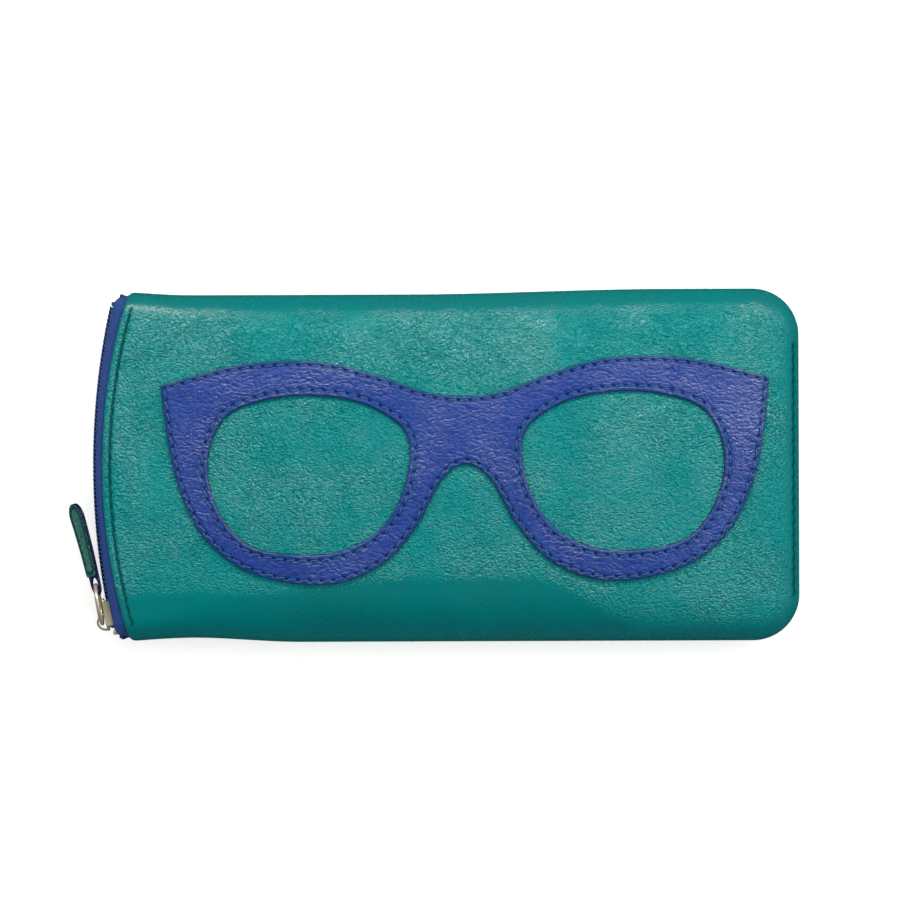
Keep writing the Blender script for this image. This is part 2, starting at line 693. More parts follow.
def inside_loop(points, loop):
    """Which points lie inside a closed loop, by counting the crossings of a ray."""
    x, y = points[:, 0], points[:, 1]
    result = np.zeros(len(points), dtype=bool)
    for (x0, y0), (x1, y1) in zip(loop, np.roll(loop, -1, axis=0)):
        if y0 != y1:
            crosses = (y0 > y) != (y1 > y)
            result ^= crosses & (x < (x1 - x0) * (y - y0) / (y1 - y0) + x0)
    return result


def within(points, outer, holes):
    """Which points lie inside the outer loop and outside every hole."""
    kept = inside_loop(points, outer)
    for hole in holes:
        kept &= ~inside_loop(points, hole)
    return kept


def patch_plan(outer, holes, spacing, fill, offsets):
    """Triangulated plan: rows of points follow every edge and a hexagonal grid fills the rest.

    Points are spacing apart along the edges and fill apart in the grid; offsets say how far in the rows lie.
    """
    outer = resampled(outer, spacing)
    holes = [resampled(hole, spacing) for hole in holes]
    loops = [outer] + holes
    edge_targets = np.vstack([resampled(loop, 0.08 * MM) for loop in loops])
    rows = []
    for k, loop in enumerate(loops):
        for offset in offsets:
            row = offset_loop(loop, offset if k else -offset)
            row = row[within(row, outer, holes)]
            rows.append(row[nearest_distance(row, edge_targets) > 0.93 * offset])
    low, high = outer.min(axis=0), outer.max(axis=0)
    ys = np.arange(low[1], high[1], fill * math.sqrt(3.0) / 2.0)
    grid = []
    for k, row_y in enumerate(ys):
        xs = np.arange(low[0] + (k % 2) * fill / 2.0, high[0], fill)
        grid.append(np.stack([xs, np.full_like(xs, row_y)], axis=1))
    grid = np.vstack(grid)
    grid = grid[within(grid, outer, holes)]
    grid = grid[nearest_distance(grid, edge_targets) > offsets[-1] + 0.6 * fill]
    points = np.vstack(loops + rows + [grid])
    edges, first = [], 0
    for loop in loops:
        count = len(loop)
        edges += [(first + i, first + (i + 1) % count) for i in range(count)]
        first += count
    coords = [Vector(p) for p in (points / MM).tolist()]
    verts, _, faces, _, _, _ = geometry.delaunay_2d_cdt(coords, edges, [], 0, 1e-5)
    plan = np.array([tuple(v) for v in verts]) * MM
    faces = np.array([list(face) for face in faces if len(face) == 3])
    centres = plan[faces].mean(axis=1)
    faces = faces[within(centres, outer, holes)]
    a, b, c = plan[faces[:, 0]], plan[faces[:, 1]], plan[faces[:, 2]]
    turn = (b[:, 0] - a[:, 0]) * (c[:, 1] - a[:, 1]) - (b[:, 1] - a[:, 1]) * (c[:, 0] - a[:, 0])
    faces[turn < 0.0] = faces[turn < 0.0][:, ::-1]
    from_edge = nearest_distance(plan, edge_targets)
    return plan, faces, from_edge


def boundary_edges(faces):
    """Directed edges that only one triangle uses."""
    pairs = np.vstack([faces[:, [0, 1]], faces[:, [1, 2]], faces[:, [2, 0]]])
    known = set(map(tuple, pairs.tolist()))
    return [(a, b) for a, b in known if (b, a) not in known]


def patch_object(name, outer, holes, place, thickness, rounding, stitches, mat, detail, base=0.0):
    """A flat piece with rounded cut edges, pressed in along its rows of stitches.

    place takes plan points and lifts to points in space; detail is patch_plan's spacing, fill and offsets.
    """
    plan, faces, from_edge = patch_plan(outer, holes, *detail)
    drop = np.clip(rounding - from_edge, 0.0, rounding)
    lift = thickness - rounding + np.sqrt(np.maximum(rounding ** 2 - drop ** 2, 0.0))
    groove, marks = needle_marks(plan, stitches)
    lift = lift - GROOVE_DEPTH * groove - 0.7 * HOLE_DEPTH * marks
    top = place(plan, base + lift)
    bottom = place(plan, np.full(len(plan), base))
    count = len(plan)
    walls = [[b, a, a + count, b + count] for a, b in boundary_edges(faces)]
    all_faces = faces.tolist() + (faces[:, ::-1] + count).tolist() + walls
    fade = (0.5 + 0.5 * smooth_step(from_edge / (1.0 * MM))) * (1.0 - 0.5 * groove)
    shade = np.clip(0.25 * groove + 0.6 * marks, 0.0, 1.0)
    edge = np.clip(1.0 - from_edge / CUT_EDGE, 0.0, 1.0)
    attributes = {"fade": np.concatenate([fade, np.zeros(count)]),
                  "shade": np.concatenate([shade, np.zeros(count)]),
                  "edge": np.concatenate([edge, np.ones(count)])}
    return mesh_object(name, np.vstack([top, bottom]), all_faces, mat, attributes=attributes)


def stitch_tubes(name, holes, place, mat, closed, thread_r=THREAD_R):
    """Separate two-ply stitches from each needle hole to the next.

    place takes plan points and lifts to points in space and the normals there.
    """
    count = len(holes) if closed else len(holes) - 1
    starts, ends = holes[:count], np.roll(holes, -1, axis=0)[:count]
    rings, sides = 11, 8
    share = np.linspace(0.0, 1.0, rings)
    rise = np.sin(math.pi * share) ** 0.55
    lift = thread_r * (2.45 * rise - 1.7) - GROOVE_DEPTH
    run = ends - starts
    slant = STITCH_SLANT * (2.0 * share - 1.0)
    along = 0.5 + STITCH_SHARE * (share - 0.5)
    plan = starts[:, None] + run[:, None] * along[None, :, None]
    plan = plan + unit(left_of(run))[:, None] * slant[None, :, None]
    placed = place(plan.reshape(-1, 2), np.tile(lift, len(starts)))
    centres, normals = [part.reshape(len(starts), rings, 3) for part in placed]
    tangents = unit(np.gradient(centres, axis=1))
    across = unit(np.cross(normals, tangents))
    up = np.cross(tangents, across)
    ply = turn_steps(sides) - math.tau * THREAD_TWIST * share[:, None]
    verts = tube_points(centres, across, up, thread_r * (0.84 + 0.16 * np.cos(2.0 * ply)))
    faces = []
    for k in range(len(starts)):
        faces += tube_faces(rings, sides, k * rings * sides)
    ply_shade = np.broadcast_to(0.5 + 0.5 * np.cos(2.0 * ply), (len(starts), rings, sides))
    return mesh_object(name, verts, faces, mat, attributes={"ply": ply_shade.ravel()})


def on_front(plan, lift):
    return leather_surface(plan, 1, lift)


def just_points(place):
    return lambda plan, lift: place(plan, lift)[0]


def make_applique(mats):
    outer, right, left = frame_loops()
    rows = {"outline": offset_loop(resampled(outer, 0.4 * MM), -OUTLINE_STITCH),
            "right_lens": offset_loop(resampled(right, 0.4 * MM), LENS_STITCH),
            "left_lens": offset_loop(resampled(left, 0.4 * MM), LENS_STITCH)}
    lines = {word: (resampled(row, LINE_STEP), resampled(row, STITCH_PITCH)) for word, row in rows.items()}
    applique = patch_object("glasses_motif", outer, [right, left], just_points(on_front), APPLIQUE_T,
                            APPLIQUE_ROUNDING, list(lines.values()), mats["applique"],
                            APPLIQUE_DETAIL, -APPLIQUE_SINK)
    pieces = [(applique, "case", ["glasses_applique"], "blue_leather")]

    def place(plan, lift):
        return leather_surface(plan, 1, APPLIQUE_T + np.asarray(lift))

    for word, (_, holes) in lines.items():
        stitches = stitch_tubes(word + "_stitches", holes, place, mats["thread"], True)
        pieces.append((stitches, "case", ["applique_" + word + "_stitching"], "thread"))
    return pieces


def make_edge_stitches(mats):
    pieces = []
    for word, side in (("front", 1), ("back", -1)):
        def place(plan, lift, side=side):
            return leather_surface(plan, side, lift)
        stitches = stitch_tubes(word + "_mouth_stitches", mouth_line(STITCH_PITCH), place,
                                mats["leather_thread"], False)
        pieces.append((stitches, "case", [word + "_mouth_stitching"], "thread"))
    stitches = stitch_tubes("closed_end_stitches", closed_end_line(STITCH_PITCH), on_front,
                            mats["leather_thread"], False)
    pieces.append((stitches, "case", ["closed_end_stitching"], "thread"))
    return pieces


# ---------------------------------------------------------------- zip

def arc_x(radius, y):
    """x on an arc of the curved zip, at y."""
    return ARC_CENTRE.x - np.sqrt(radius ** 2 - y * y)


def parting(y):
    """How far each side of the zip is spread by the slider at its closed end."""
    return PARTING * (1.0 - ramp(y, *PARTING_SPAN))


def tape_object(word, side, mat):
    """Half of the zip tape: bulges out of the mouth, then tucks in under the leather."""
    round_columns, tuck_columns, rows = 44, 8, 241
    v = np.linspace(-1.0, 1.0, rows)[:, None]
    y = np.sign(v) * (1.0 - (1.0 - np.abs(v)) ** 1.3) * TAPE_HALF_LENGTH
    edge_x = mouth_edge(y)
    end_share = np.minimum((TAPE_HALF_LENGTH + 0.3 * MM - np.abs(y)) / TAPE_CORNER_R, 1.0)
    bulge = (edge_x - arc_x(TAPE_R, y)) * np.sqrt(1.0 - (1.0 - end_share) ** 2)
    angle = np.linspace(0.0, QUARTER, round_columns)[None, :]
    near = CHANNEL + parting(y)
    full = np.abs(shell_z(edge_x, y, 1, TAPE_DEPTH) - MID_Z)
    x_round = edge_x - bulge * np.abs(np.cos(angle)) ** TAPE_SQUARENESS
    z_round = near + (full - near) * np.sin(angle) ** TAPE_SQUARENESS
    tuck = np.linspace(0.0, 1.0, tuck_columns + 1)[None, 1:]
    x_tuck = edge_x + TAPE_TUCK * tuck
    y_tuck = np.repeat(y, tuck_columns, axis=1)
    z_tuck = np.abs(shell_z(x_tuck, y_tuck, 1, TAPE_DEPTH) - MID_Z)
    x = np.hstack([x_round, x_tuck])
    z = MID_Z + side * np.hstack([z_round, z_tuck])
    points = np.stack([x, np.repeat(y, x.shape[1], axis=1), z], axis=2)
    normals = grid_normals(points, side)
    steps = np.linalg.norm(np.diff(points, axis=1), axis=2)
    across = np.hstack([np.zeros((rows, 1)), np.cumsum(steps, axis=1)]) / MM
    along = np.repeat(y, x.shape[1], axis=1) / MM
    return thin_solid("zip_tape_" + word + "_knit", points, normals, TAPE_T, side, mat,
                      {"across": across, "along": along})


def tube_along(centres, radius, sides):
    """Vertices and faces of a tube along a line of points, with frames carried along it."""
    tangents = unit(np.gradient(centres, axis=0))
    side = np.cross(tangents[0], [0.0, 0.0, 1.0])
    if np.linalg.norm(side) < 0.1:
        side = np.cross(tangents[0], [1.0, 0.0, 0.0])
    sides_at = []
    for tangent in tangents:
        side = side - tangent * np.dot(side, tangent)
        side = side / np.linalg.norm(side)
        sides_at.append(side)
    sides_at = np.array(sides_at)
    ups = np.cross(tangents, sides_at)
    radii = np.tile(np.reshape(radius, (-1, 1)), sides)
    return tube_points(centres, sides_at, ups, radii), tube_faces(len(centres), sides)


def squared(wave, power):
    """A sine or cosine made squarer by a power below one."""
    return np.sign(wave) * np.abs(wave) ** power


def coil_object(word, side, mat):
    """One side of the coil zip: a flattened helix whose heads reach across the mid-plane."""
    turns = (COIL_HIGH_Y - COIL_LOW_Y) / COIL_PITCH
    steps = int(turns * 18)
    t = np.linspace(0.0, turns, steps)
    phase = 0.0 if side > 0 else 0.5
    turn = math.tau * (t + phase)
    y = COIL_LOW_Y + t * COIL_PITCH
    z = MID_Z + side * (COIL_OFF + parting(y) - COIL_REACH * squared(np.cos(turn), 0.8))
    radius = ZIP_R - COIL_WIRE_R - COIL_DEPTH + COIL_DEPTH * squared(np.sin(turn), 0.7)
    centres = np.stack([arc_x(radius, y), y, z], axis=1)
    verts, faces = tube_along(centres, COIL_WIRE_R, 8)
    return mesh_object("zip_coil_" + word + "_wire", verts, faces, mat)


def make_zip(mats):
    pieces = []
    for word, side in (("front", 1), ("back", -1)):
        pieces.append((tape_object(word, side, mats["tape"]), "case", ["zip_tape_" + word], "zip_tape"))
        pieces.append((coil_object(word, side, mats["coil"]), "case", ["zip_coil_" + word], "zip_coil"))
    return pieces


# ---------------------------------------------------------------- slider, stops, ring and tab

SLIDER_TURN = Matrix.Rotation(SLIDER_ANGLE, 4, "Z")
SLIDER_PLACE = Matrix.Translation(ARC_CENTRE) @ SLIDER_TURN


def axes_matrix(x_axis, y_axis, z_axis):
    return Matrix((x_axis, y_axis, z_axis)).transposed().to_4x4()


# Takes (s, z, w) of the slider's own frame to space
SLIDER_AXES = SLIDER_PLACE @ Matrix.Translation((-ZIP_R, 0.0, 0.0))
SLIDER_AXES = SLIDER_AXES @ axes_matrix((0, 1, 0), (0, 0, 1), (-1, 0, 0))


def arc_points(centre, radius, start, end, steps):
    angles = [math.radians(start + (end - start) * i / steps) for i in range(steps + 1)]
    return [(centre[0] + radius * math.cos(a), centre[1] + radius * math.sin(a)) for a in angles]


def tapered_outline(half_tail, half_nose, nose_r, tail_r, steps=8):
    """Plan of a slider plate, wider at its rounder nose."""
    nose = (-SLIDER_HALF + nose_r, half_nose - nose_r)
    tail = (SLIDER_HALF - tail_r, half_tail - tail_r)
    outline = arc_points((nose[0], -nose[1]), nose_r, 180.0, 270.0, steps)
    outline += arc_points((tail[0], -tail[1]), tail_r, 270.0, 360.0, steps)
    outline += arc_points(tail, tail_r, 0.0, 90.0, steps)
    outline += arc_points(nose, nose_r, 90.0, 180.0, steps)
    return outline


def bridge(bm, first, second):
    """Quads between two loops with the same number of vertices; from_bmesh turns them outward."""
    for i in range(len(first)):
        j = (i + 1) % len(first)
        bm.faces.new((first[i], first[j], second[j], second[i]))


def cushion_plate(bm, outline, low, high, dome=0.0, rings=5):
    """A plate with rounded edges all round: rings of its outline, drawn in towards each face."""
    outline = resampled(np.array(outline), 0.28 * MM)
    lower = []
    for k in range(rings + 1):
        angle = QUARTER * k / rings
        inset = PLATE_ROUNDING * (1.0 - math.cos(angle))
        lower.append((inset, low + PLATE_ROUNDING * (1.0 - math.sin(angle))))
    upper = [(inset, low + high - w) for inset, w in reversed(lower)]
    stack = []
    for inset, w in upper + lower:
        loop = offset_loop(outline, -inset)
        stack.append([bm.verts.new((x, y, w)) for x, y in loop])
    for first, second in zip(stack, stack[1:]):
        bridge(bm, first, second)
    for loop in (stack[0], list(reversed(stack[-1]))):
        centre = sum((v.co for v in loop), Vector()) / len(loop)
        previous = loop
        for share in (0.82, 0.6, 0.35):
            ring = [bm.verts.new(centre + (v.co - centre) * share) for v in loop]
            bridge(bm, previous, ring)
            previous = ring
        hub = bm.verts.new(centre)
        for i in range(len(loop)):
            bm.faces.new((previous[i], previous[(i + 1) % len(loop)], hub))
    if dome:
        for vert in bm.verts:
            if vert.co.z > (low + high) / 2.0:
                across = 1.0 - (vert.co.y / OUTER_OUTLINE[1]) ** 2
                vert.co.z += dome * max(across, 0.0) * (1.0 - (vert.co.x / SLIDER_HALF) ** 4)


def swept_bar(bm, line, beside, half_widths, half_depth, sides=16):
    """A closed bar with a rounded rectangular section swept along a line of points.

    half_widths is one half width, or one for each point.
    """
    centres = np.array(line)
    tangents = unit(np.gradient(centres, axis=0))
    beside = np.array(beside, dtype=float)
    up = np.cross(beside, tangents)
    half_widths = np.broadcast_to(half_widths, len(centres))
    loops = []
    for i, centre in enumerate(centres):
        loop = []
        for k in range(sides):
            angle = math.tau * (k + 0.5) / sides
            a = squared(math.cos(angle), 0.5) * half_widths[i]
            b = squared(math.sin(angle), 0.5) * half_depth
            loop.append(bm.verts.new(Vector(centre + beside * a + up[i] * b)))
        loops.append(loop)
    for first, second in zip(loops, loops[1:]):
        bridge(bm, first, second)
    bm.faces.new(list(reversed(loops[0])))
    bm.faces.new(loops[-1])


def flange_line(side):
    """The guiding side wall of the slider, a little wider at the nose."""
    share = np.linspace(0.0, 1.0, 13)
    s = FLANGE_SPAN[0] + (FLANGE_SPAN[1] - FLANGE_SPAN[0]) * share
    z = side * (FLANGE_SIDE + FLANGE_SPREAD * (1.0 - share) ** 2)
    return np.stack([s, z, np.full(13, FLANGE_W)], axis=1)


def slider_object(mat):
    """The slider: two plates, side flanges, the divider between the coils and the crown."""
    bm = bmesh.new()
    cushion_plate(bm, tapered_outline(*OUTER_OUTLINE), *OUTER_PLATE, dome=PLATE_DOME)
    cushion_plate(bm, tapered_outline(*INNER_OUTLINE), *INNER_PLATE)
    for side in (1, -1):
        swept_bar(bm, flange_line(side), (0.0, 0.0, 1.0), 0.88 * MM, 0.28 * MM)
    post = [(POST_S, 0.0, w * MM) for w in np.linspace(-3.1, 0.5, 9)]
    swept_bar(bm, post, (1.0, 0.0, 0.0), 1.0 * MM, 0.16 * MM)
    turn = np.linspace(0.0, math.pi, 29)
    s, w = CROWN_S - CROWN_HALF * np.cos(turn), CROWN_W + CROWN_HEIGHT * np.sin(turn)
    half_widths = (0.8 + 0.25 * np.abs(2.0 * turn / math.pi - 1.0) ** 3) * MM
    swept_bar(bm, np.stack([s, 0.0 * turn, w], axis=1), (0.0, 1.0, 0.0), half_widths, 0.28 * MM)
    bmesh.ops.transform(bm, matrix=SLIDER_AXES, verts=bm.verts)
    return from_bmesh("slider_casting", bm, mat, 50.0)


def stop_object(name, y, low, high, mat):
    """A stop: a strip bent round the coil, open towards the tape."""
    bm = bmesh.new()
    radius = ZIP_R - 0.35 * MM
    x = arc_x(radius, y)
    wall = 0.24 * MM
    bend = [(x + 1.05 * MM, 0.0), (x + 0.45 * MM, 0.0)]
    for i in range(7):
        angle = QUARTER * i / 6
        bend.append((x + 0.5 * MM - 0.3 * MM * math.sin(angle), 0.3 * MM * (1.0 - math.cos(angle))))
    line = [(across, y, high - wall - drop) for across, drop in bend]
    line += [(across, y, low + wall + drop) for across, drop in reversed(bend)]
    swept_bar(bm, line, (0.0, 1.0, 0.0), 0.55 * MM, 0.2 * MM)
    return from_bmesh(name, bm, mat, 50.0)


def make_slider_and_stops(mats):
    pieces = [(slider_object(mats["gold"]), "slider", ["slider_body"], "pale_gold")]
    for word, low, high in (("front", 0.65 * MM, 2.3 * MM), ("back", -2.3 * MM, -0.65 * MM)):
        stop = stop_object(word + "_top_stop", TOP_STOP_Y, MID_Z + low, MID_Z + high, mats["gold"])
        pieces.append((stop, "case", ["zip_top_stop_" + word], "pale_gold"))
    stop = stop_object("bottom_stop", BOTTOM_STOP_Y, MID_Z - 2.25 * MM, MID_Z + 2.25 * MM, mats["coil"])
    pieces.append((stop, "case", ["zip_bottom_stop"], "zip_coil"))
    return pieces


def pull_frames():
    """Matrices of the ring and of the tab, in space, at rest."""
    outward, along, up = Vector((-1, 0, 0)), Vector((0, 1, 0)), Vector((0, 0, 1))
    reach = along * math.cos(RING_OUT) + outward * math.sin(RING_OUT)
    beside = outward * math.cos(RING_OUT) - along * math.sin(RING_OUT)
    wire = up * math.cos(RING_ROLL) + beside * math.sin(RING_ROLL)
    ring = Matrix.Translation(CROWN_HOLE) @ SLIDER_TURN @ axes_matrix(reach, wire, reach.cross(wire))
    length = along * math.cos(TAB_OUT) + outward * math.sin(TAB_OUT)
    face = outward * math.cos(TAB_OUT) - along * math.sin(TAB_OUT)
    width = up * math.cos(TAB_TWIST) - face * math.sin(TAB_TWIST)
    tab = Matrix.Translation(TAB_HOLE) @ SLIDER_TURN @ axes_matrix(width, length, width.cross(length))
    return ring, tab


def ring_object(frame_matrix, mat):
    """A split ring of round wire: its two ends meet behind the crown."""
    segments, sides = 128, 20
    gap = math.radians(1.6)
    angles = np.linspace(math.radians(30.0) + gap, math.radians(390.0) - gap, segments)
    x, y = RING_R + RING_R * np.cos(angles), RING_R * np.sin(angles)
    centres = np.stack([x, y, np.zeros(segments)], axis=1)
    ends = np.minimum(np.arange(segments), np.arange(segments)[::-1])
    radius = WIRE_R * np.where(ends == 0, 0.8, 1.0)
    verts, faces = tube_along(centres, radius, sides)
    matrix = np.array(frame_matrix)
    verts = verts @ matrix[:3, :3].T + matrix[:3, 3]
    return mesh_object("pull_ring_wire", verts, faces, mat)


def tab_outline(start, inset=0.0):
    """Plan of the tab, from its ring end, or cut off square at start."""
    near_r, far_r = TAB_RING_END_R - inset, TAB_FAR_END_R - inset
    far = TAB_LENGTH - TAB_FAR_END_R
    lean = math.asin((far_r - near_r) / far)
    degrees = math.degrees(lean)
    points = arc_points((far, 0.0), far_r, -90.0 - degrees, 90.0 + degrees, 24)
    if start is None:
        points += arc_points((0.0, 0.0), near_r, 90.0 + degrees, 270.0 - degrees, 24)
    else:
        half = near_r / math.cos(lean) + start * math.tan(lean)
        points += [(start + 0.5 * MM, half), (start, half - 0.5 * MM), (start, 0.5 * MM - half),
                   (start + 0.5 * MM, -half)]
    return np.array([(width, length) for length, width in points])


def make_pull(mats):
    ring_frame, tab_frame = pull_frames()
    pieces = [(ring_object(ring_frame, mats["gold"]), "ring", ["pull_ring"], "pale_gold")]
    matrix = np.array(tab_frame)
    turned = matrix[:3, :3]

    def place(plan, lift):
        bow = TAB_BOW * np.sin(np.clip(plan[:, 1] / TAB_LENGTH, 0.0, 1.0) * math.pi)
        local = np.stack([plan[:, 0], plan[:, 1], np.asarray(lift) - bow], axis=1)
        return local @ turned.T + matrix[:3, 3]

    def place_with_normals(plan, lift):
        normals = np.tile(turned[:, 2], (len(plan), 1))
        return place(plan, np.asarray(lift) + 1.5 * TAB_T + TAB_GAP), normals

    row = resampled(tab_outline(TAB_FRONT_START + TAB_STITCH, TAB_STITCH)[::-1], LINE_STEP)
    holes = resampled(row, TAB_STITCH_PITCH)
    hole = np.array(arc_points((0.0, 0.0), TAB_HOLE_R, 0.0, 350.0, 35))
    back = patch_object("pull_tab_lining_layer", tab_outline(None)[::-1], [hole], place, TAB_T,
                        TAB_BACK_ROUNDING, [], mats["tab_back"], TAB_BACK_DETAIL, -0.5 * TAB_T)
    front = patch_object("pull_tab_leather_layer", tab_outline(TAB_FRONT_START)[::-1], [], place, TAB_T,
                         TAB_FRONT_ROUNDING, [(row, holes)], mats["tab_front"], TAB_FRONT_DETAIL,
                         0.5 * TAB_T + TAB_GAP)
    stitches = stitch_tubes("pull_tab_stitches", holes, place_with_normals, mats["leather_thread"], True,
                            TAB_THREAD_R)
    pieces.append((back, "tab", ["pull_tab_back"], "tab_back"))
    pieces.append((front, "tab", ["pull_tab_front"], "teal_leather"))
    pieces.append((stitches, "tab", ["pull_tab_stitching"], "thread"))
    return pieces


# ---------------------------------------------------------------- inside the case

def make_inside(mats):
    pieces = []
    for word, side in (("front", 1), ("back", -1)):
        foam = inner_shell(word + "_padding", side, FOAM_DEPTH, FOAM_T, FOAM_START, 0.6 * MM, mats["foam"])
        lining = inner_shell(word + "_cloth", side, LINING_DEPTH, LINING_T, LINING_START, 0.35 * MM,
                             mats["lining"])
        pieces.append((foam, "case", [word + "_foam"], "foam"))
        pieces.append((lining, "case", [word + "_lining"], "lining"))
    low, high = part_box("divider")
    corner = DIVIDER_CORNER_R
    outline = arc_points((high.x - corner, low.y + corner), corner, -90.0, 0.0, 12)
    outline += arc_points((high.x - corner, high.y - corner), corner, 0.0, 90.0, 12)
    outline += [(low.x, high.y - WAIST_DEPTH), (low.x, low.y + WAIST_DEPTH)]

    def place(plan, lift):
        return np.stack([plan[:, 0], plan[:, 1], low.z + np.asarray(lift)], axis=1)

    divider = patch_object("padded_divider", np.array(outline), [], place, high.z - low.z,
                           DIVIDER_ROUNDING, [], mats["lining"], DIVIDER_DETAIL)
    pieces.append((divider, "case", ["divider"], "lining"))
    return pieces


# ---------------------------------------------------------------- materials

def srgb(red, green, blue):
    """Linear colour of an sRGB colour given in 0 to 255."""
    values = [c / 255.0 for c in (red, green, blue)]
    return tuple(c / 12.92 if c <= 0.04045 else ((c + 0.055) / 1.055) ** 2.4 for c in values)


class Graph:
    """Short-hand for a material's node tree."""

    def __init__(self, name):
        self.mat = bpy.data.materials.new(name)
        self.mat.use_nodes = True
        self.tree = self.mat.node_tree
        self.shader = self.tree.nodes["Principled BSDF"]
        self.place = self.node("ShaderNodeTexCoord").outputs["Object"]
        self.mm = self.vector("SCALE", self.place, scale=1.0 / MM)

    def node(self, kind, inputs=None, **settings):
        made = self.tree.nodes.new(kind)
        for key, value in settings.items():
            setattr(made, key, value)
        for key, value in (inputs or {}).items():
            self.feed(made.inputs[key], value)
        return made

    def feed(self, socket, value):
        if isinstance(value, bpy.types.NodeSocket):
            self.tree.links.new(value, socket)
        elif isinstance(value, tuple) and len(value) == 3 and socket.type == "RGBA":
            socket.default_value = (*value, 1.0)
        else:
            socket.default_value = value

    def math(self, operation, a, b=0.0):
        return self.node("ShaderNodeMath", {0: a, 1: b}, operation=operation).outputs[0]

    def add(self, a, b):
        return self.math("ADD", a, b)

    def times(self, a, b):
        return self.math("MULTIPLY", a, b)

    def rest_of(self, a):
        return self.math("SUBTRACT", 1.0, a)

    def vector(self, operation, a, b=(0.0, 0.0, 0.0), scale=1.0):
        made = self.node("ShaderNodeVectorMath", {0: a, 1: b}, operation=operation)
        if operation == "SCALE":
            made.inputs["Scale"].default_value = scale
        return made.outputs[0]

    def noise(self, vector, scale, detail=2.0, roughness=0.5, output="Fac"):
        inputs = {"Vector": vector, "Scale": scale, "Detail": detail, "Roughness": roughness}
        return self.node("ShaderNodeTexNoise", inputs).outputs[output]

    def cell_distance(self, vector, scale):
        return self.node("ShaderNodeTexVoronoi", {"Vector": vector, "Scale": scale}).outputs["Distance"]

    def step(self, value, low, high, to_low=0.0, to_high=1.0):
        inputs = {"Value": value, "From Min": low, "From Max": high, "To Min": to_low, "To Max": to_high}
        return self.node("ShaderNodeMapRange", inputs, interpolation_type="SMOOTHSTEP").outputs[0]

    def mix(self, factor, a, b):
        made = self.node("ShaderNodeMix", {"Factor": factor}, data_type="RGBA")
        self.feed(made.inputs[6], a)
        self.feed(made.inputs[7], b)
        return made.outputs[2]

    def value(self, key):
        return self.node("ShaderNodeAttribute", attribute_name=key).outputs["Fac"]

    def bump(self, height, distance, strength=1.0):
        inputs = {"Height": height, "Distance": distance, "Strength": strength}
        return self.node("ShaderNodeBump", inputs).outputs[0]

    def finish(self, **inputs):
        for key, value in inputs.items():
            self.feed(self.shader.inputs[key.replace("_", " ")], value)
        return self.mat


def leather(name, base, deep, light, edge_colour, cell=0.5, grain=1.0, run=0.6,
            roughness=0.27, faded=0.05, shine=0.72):
    """Pebbled leather: rounded cells strung along wavy rows, smooth where it is stretched over an edge.

    run is how much the cells and rows stretch along x, above 1 they stretch along y instead.
    """
    g = Graph(name)
    warp = g.vector("SUBTRACT", g.noise(g.mm, 0.22, 3.0, 0.6, "Color"), (0.5, 0.5, 0.5))
    warped = g.vector("ADD", g.mm, g.vector("SCALE", warp, scale=3.2))
    cells = g.cell_distance(g.vector("MULTIPLY", warped, (run, 1.0, 1.0)), 1.0 / cell)
    domes = g.math("SUBTRACT", 0.5, g.times(cells, cells))
    drawn = g.vector("MULTIPLY", warped, (run * 0.4, 1.0 / max(run, 1.0), 0.8))
    strands = g.noise(drawn, 0.9 / cell, 2.0, 0.6)
    fine = g.noise(g.vector("MULTIPLY", warped, (run, 1.0, 1.0)), 2.2 / cell, 2.0)
    height = g.add(g.times(domes, 2.2), g.times(strands, 1.1))
    height = g.add(height, g.times(fine, 0.7))
    fade = g.add(g.times(g.value("fade"), 1.0 - faded), faded)
    patches = g.step(g.noise(g.mm, 0.06, 2.0), 0.32, 0.68, 0.75, 1.25)
    strength = g.times(fade, patches)
    normal = g.bump(g.times(height, strength), 0.31 * cell * MM * grain, 1.0)

    tone = g.step(g.noise(g.mm, 0.07, 3.0, 0.6), 0.3, 0.7)
    colour = g.mix(g.times(tone, 0.4), base, light)
    low = g.times(g.step(domes, 0.32, 0.12), g.times(fade, 0.35))
    colour = g.mix(low, colour, deep)
    stretched = g.times(g.rest_of(g.value("fade")), 0.8)
    colour = g.mix(stretched, colour, deep)
    colour = g.mix(g.value("shade"), colour, tuple(0.18 * c for c in deep))
    colour = g.mix(g.value("edge"), colour, edge_colour)
    rough = g.add(roughness - 0.05, g.times(g.noise(g.mm, 0.9, 3.0), 0.1))
    polish = g.step(g.noise(g.mm, 0.045, 3.0, 0.55), 0.36, 0.64, 0.45 * shine, 1.45 * shine)
    level = g.times(polish, g.rest_of(g.times(low, 0.8)))
    level = g.times(level, g.rest_of(g.value("shade")))
    return g.finish(Base_Color=colour, Roughness=rough, Normal=normal, Specular_IOR_Level=level)


def thread_material(name, colour, deep):
    g = Graph(name)
    fibres = g.noise(g.mm, 9.0, 2.0)
    shade = g.add(g.times(g.value("ply"), 0.75), g.times(fibres, 0.3))
    return g.finish(Base_Color=g.mix(shade, deep, colour), Roughness=0.7, Specular_IOR_Level=0.03,
                    Normal=g.bump(fibres, 0.03 * MM, 0.6))


def metal(name, colour, roughness):
    g = Graph(name)
    scratches = g.noise(g.vector("MULTIPLY", g.mm, (1.2, 0.25, 1.2)), 7.0, 3.0)
    dull = g.noise(g.mm, 0.8, 3.0)
    rough = g.add(g.times(dull, 0.14), g.times(scratches, 0.06))
    rough = g.add(rough, roughness - 0.08)
    tint = g.mix(dull, colour, tuple(0.86 * c for c in colour))
    return g.finish(Base_Color=tint, Roughness=rough, Metallic=0.65,
                    Normal=g.bump(scratches, 0.01 * MM, 0.35))


